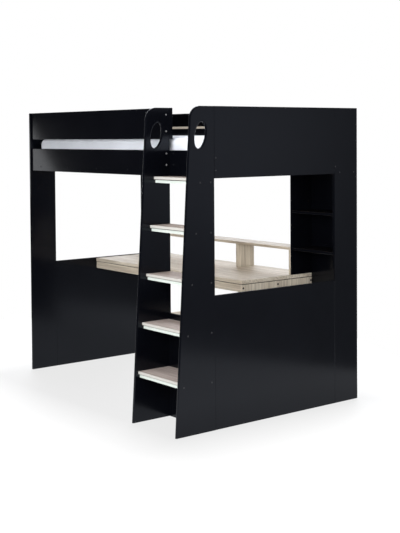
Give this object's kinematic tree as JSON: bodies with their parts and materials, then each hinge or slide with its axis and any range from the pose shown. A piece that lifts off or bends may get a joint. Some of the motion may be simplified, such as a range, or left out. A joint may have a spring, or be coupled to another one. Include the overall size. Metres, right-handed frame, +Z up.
{
  "type": "high sleeper bed",
  "caption": "High sleeper bed of flat boards with a fixed front ladder, guard rails, a desk and raised shelf below, a rear bookcase and a loose mattress.",
  "frame": {"origin": "on the floor under the middle of the whole outline", "axes": "+X along the bed towards the ladder end, +Y from the ladder to the back, +Z up"},
  "size_m": [2.015, 1.384, 1.771],
  "materials": {
    "black_board": "satin black foil",
    "oak_board": "matt greyed oak foil",
    "pine": "sawn and planed",
    "glow_plastic": "satin",
    "dark_screw": "black",
    "beech_dowel": "turned",
    "zinc": "bright zinc",
    "mattress_cover": "white ticking"
  },
  "bodies": {
    "frame": {"post_front_left": "black_board", "post_rear_left": "black_board", "panel_lower_left": "black_board", "panel_upper_left": "black_board", "post_rear_right": "black_board", "panel_lower_right": "black_board", "panel_upper_right": "black_board", "ladder_side_left": "black_board", "ladder_side_right": "black_board", "kick_board": "black_board", "guard_rail": "black_board", "front_rail": "black_board", "rear_rail": "black_board", "bay_floor": "black_board", "back_board": "black_board", "desk_support": "black_board", "case_divider": "black_board", "case_shelf_lower": "black_board", "case_shelf_upper": "black_board", "case_back": "black_board", "tread_1": "oak_board", "tread_2": "oak_board", "tread_3": "oak_board", "tread_4": "oak_board", "tread_5": "oak_board", "bay_ledge": "oak_board", "desk_top": "oak_board", "desk_end_left": "oak_board", "desk_end_right": "oak_board", "desk_rail_front": "oak_board", "desk_rail_middle": "oak_board", "desk_rail_rear": "oak_board", "raised_shelf": "oak_board", "shelf_riser_1": "oak_board", "shelf_riser_2": "oak_board", "shelf_riser_3": "oak_board", "shelf_riser_4": "oak_board", "cubby_top": "oak_board", "slats": "pine", "batten_front": "pine", "batten_rear": "pine", "glow_strip_1": "glow_plastic", "glow_strip_2": "glow_plastic", "glow_strip_3": "glow_plastic", "glow_strip_4": "glow_plastic", "glow_strip_5": "glow_plastic", "tread_screws": "dark_screw", "end_screws": "dark_screw", "desk_screws": "dark_screw", "batten_screws": "dark_screw", "end_dowels": "beech_dowel", "bed_dowels": "beech_dowel", "ladder_dowels": "beech_dowel", "desk_dowels": "beech_dowel", "case_dowels": "beech_dowel", "cam_locks": "zinc", "cam_bolts": "zinc"},
    "mattress": {"mattress": "mattress_cover"}
  },
  "joints": [
    {"name": "mattress_lift", "type": "slide", "parent": "frame", "child": "mattress", "axis": [0, 0, 1], "range_m": [0, 0.4]}
  ]
}
